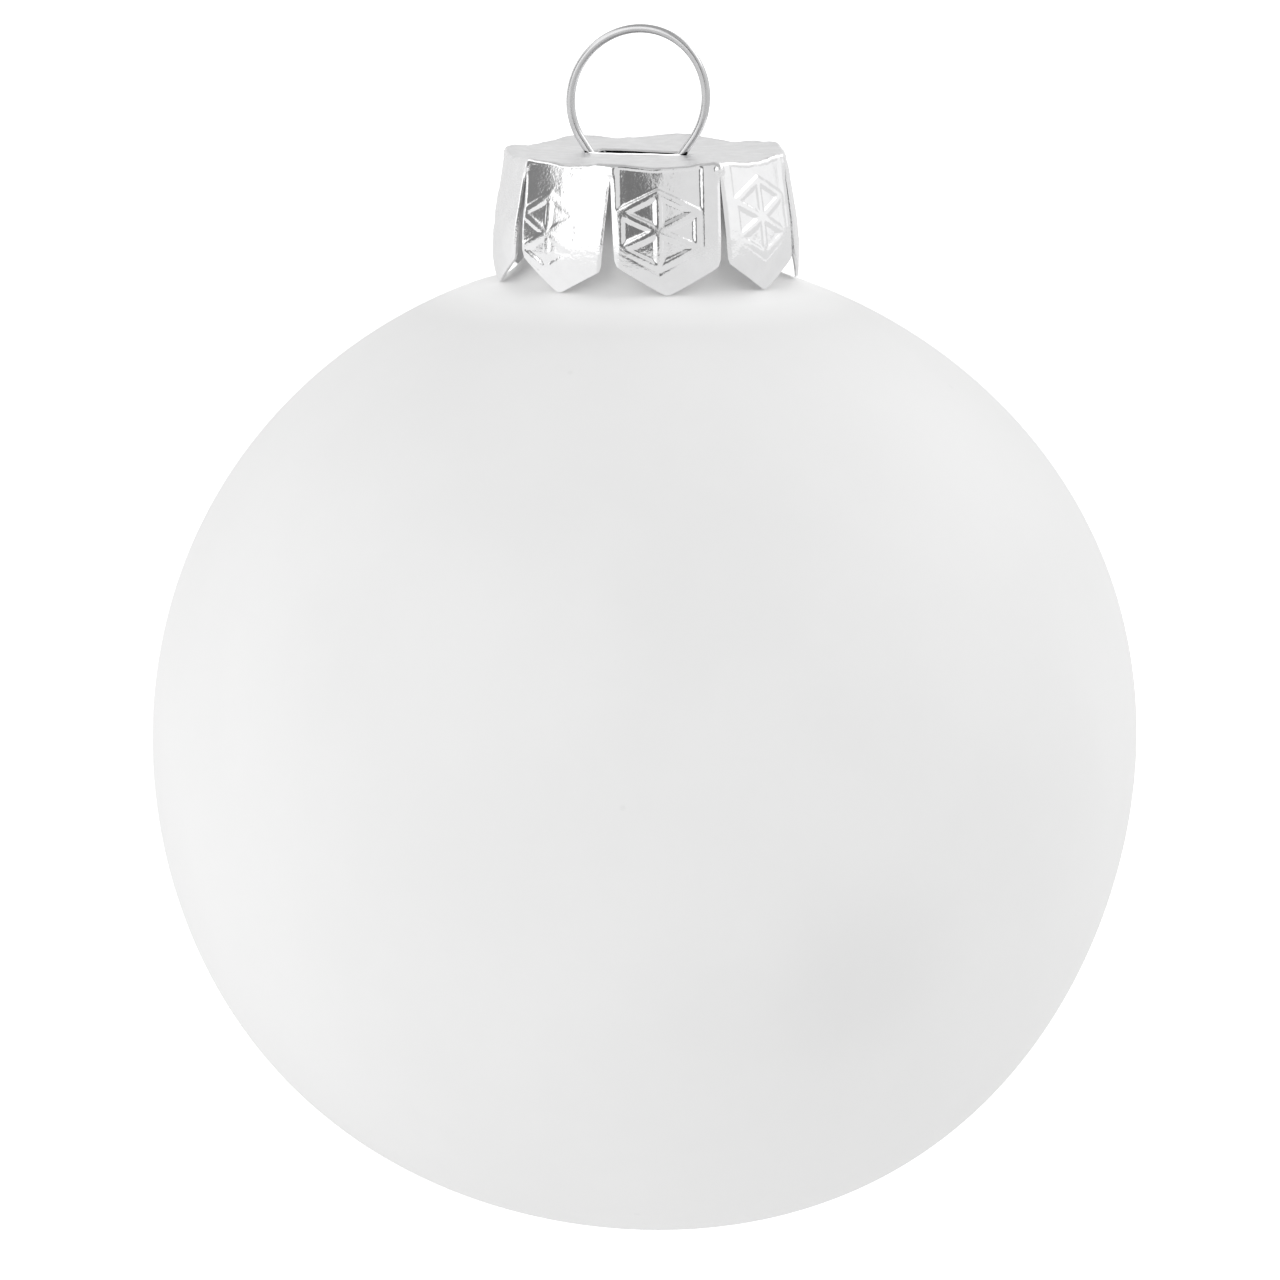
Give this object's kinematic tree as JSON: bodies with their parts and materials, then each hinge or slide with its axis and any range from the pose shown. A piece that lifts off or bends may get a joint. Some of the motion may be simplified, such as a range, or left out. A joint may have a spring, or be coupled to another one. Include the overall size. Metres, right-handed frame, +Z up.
{
  "type": "glass ball ornament",
  "caption": "Satin white blown-glass ball ornament with a stamped metal cap of pointed petals over its neck and a springy wire hanging eye.",
  "frame": {"origin": "lowest point of the ball, on the ball's axis", "axes": "+Z up along the ball's axis through the neck; +X along the slot and across the flat of the hanger's eye; +Y through the eye"},
  "size_m": [0.067, 0.067, 0.0826],
  "materials": {
    "satin_glass": "satin white lacquer over silvered blown glass",
    "cap_metal": "bright stamped sheet",
    "spring_wire": "bright drawn wire"
  },
  "bodies": {
    "ball": {"glass_ball": "satin_glass"},
    "cap": {"cap": "cap_metal"},
    "hanger": {"hanger_wire": "spring_wire"}
  },
  "joints": [
    {"name": "cap_lift", "type": "slide", "parent": "ball", "child": "cap", "axis": [0, 0, 1], "range_m": [0, 0.024]},
    {"name": "hanger_rock", "type": "hinge", "parent": "cap", "child": "hanger", "pos_m": [-0.0007, 0, 0.07375], "axis": [1, 0, 0], "range_deg": [-25, 25]}
  ]
}
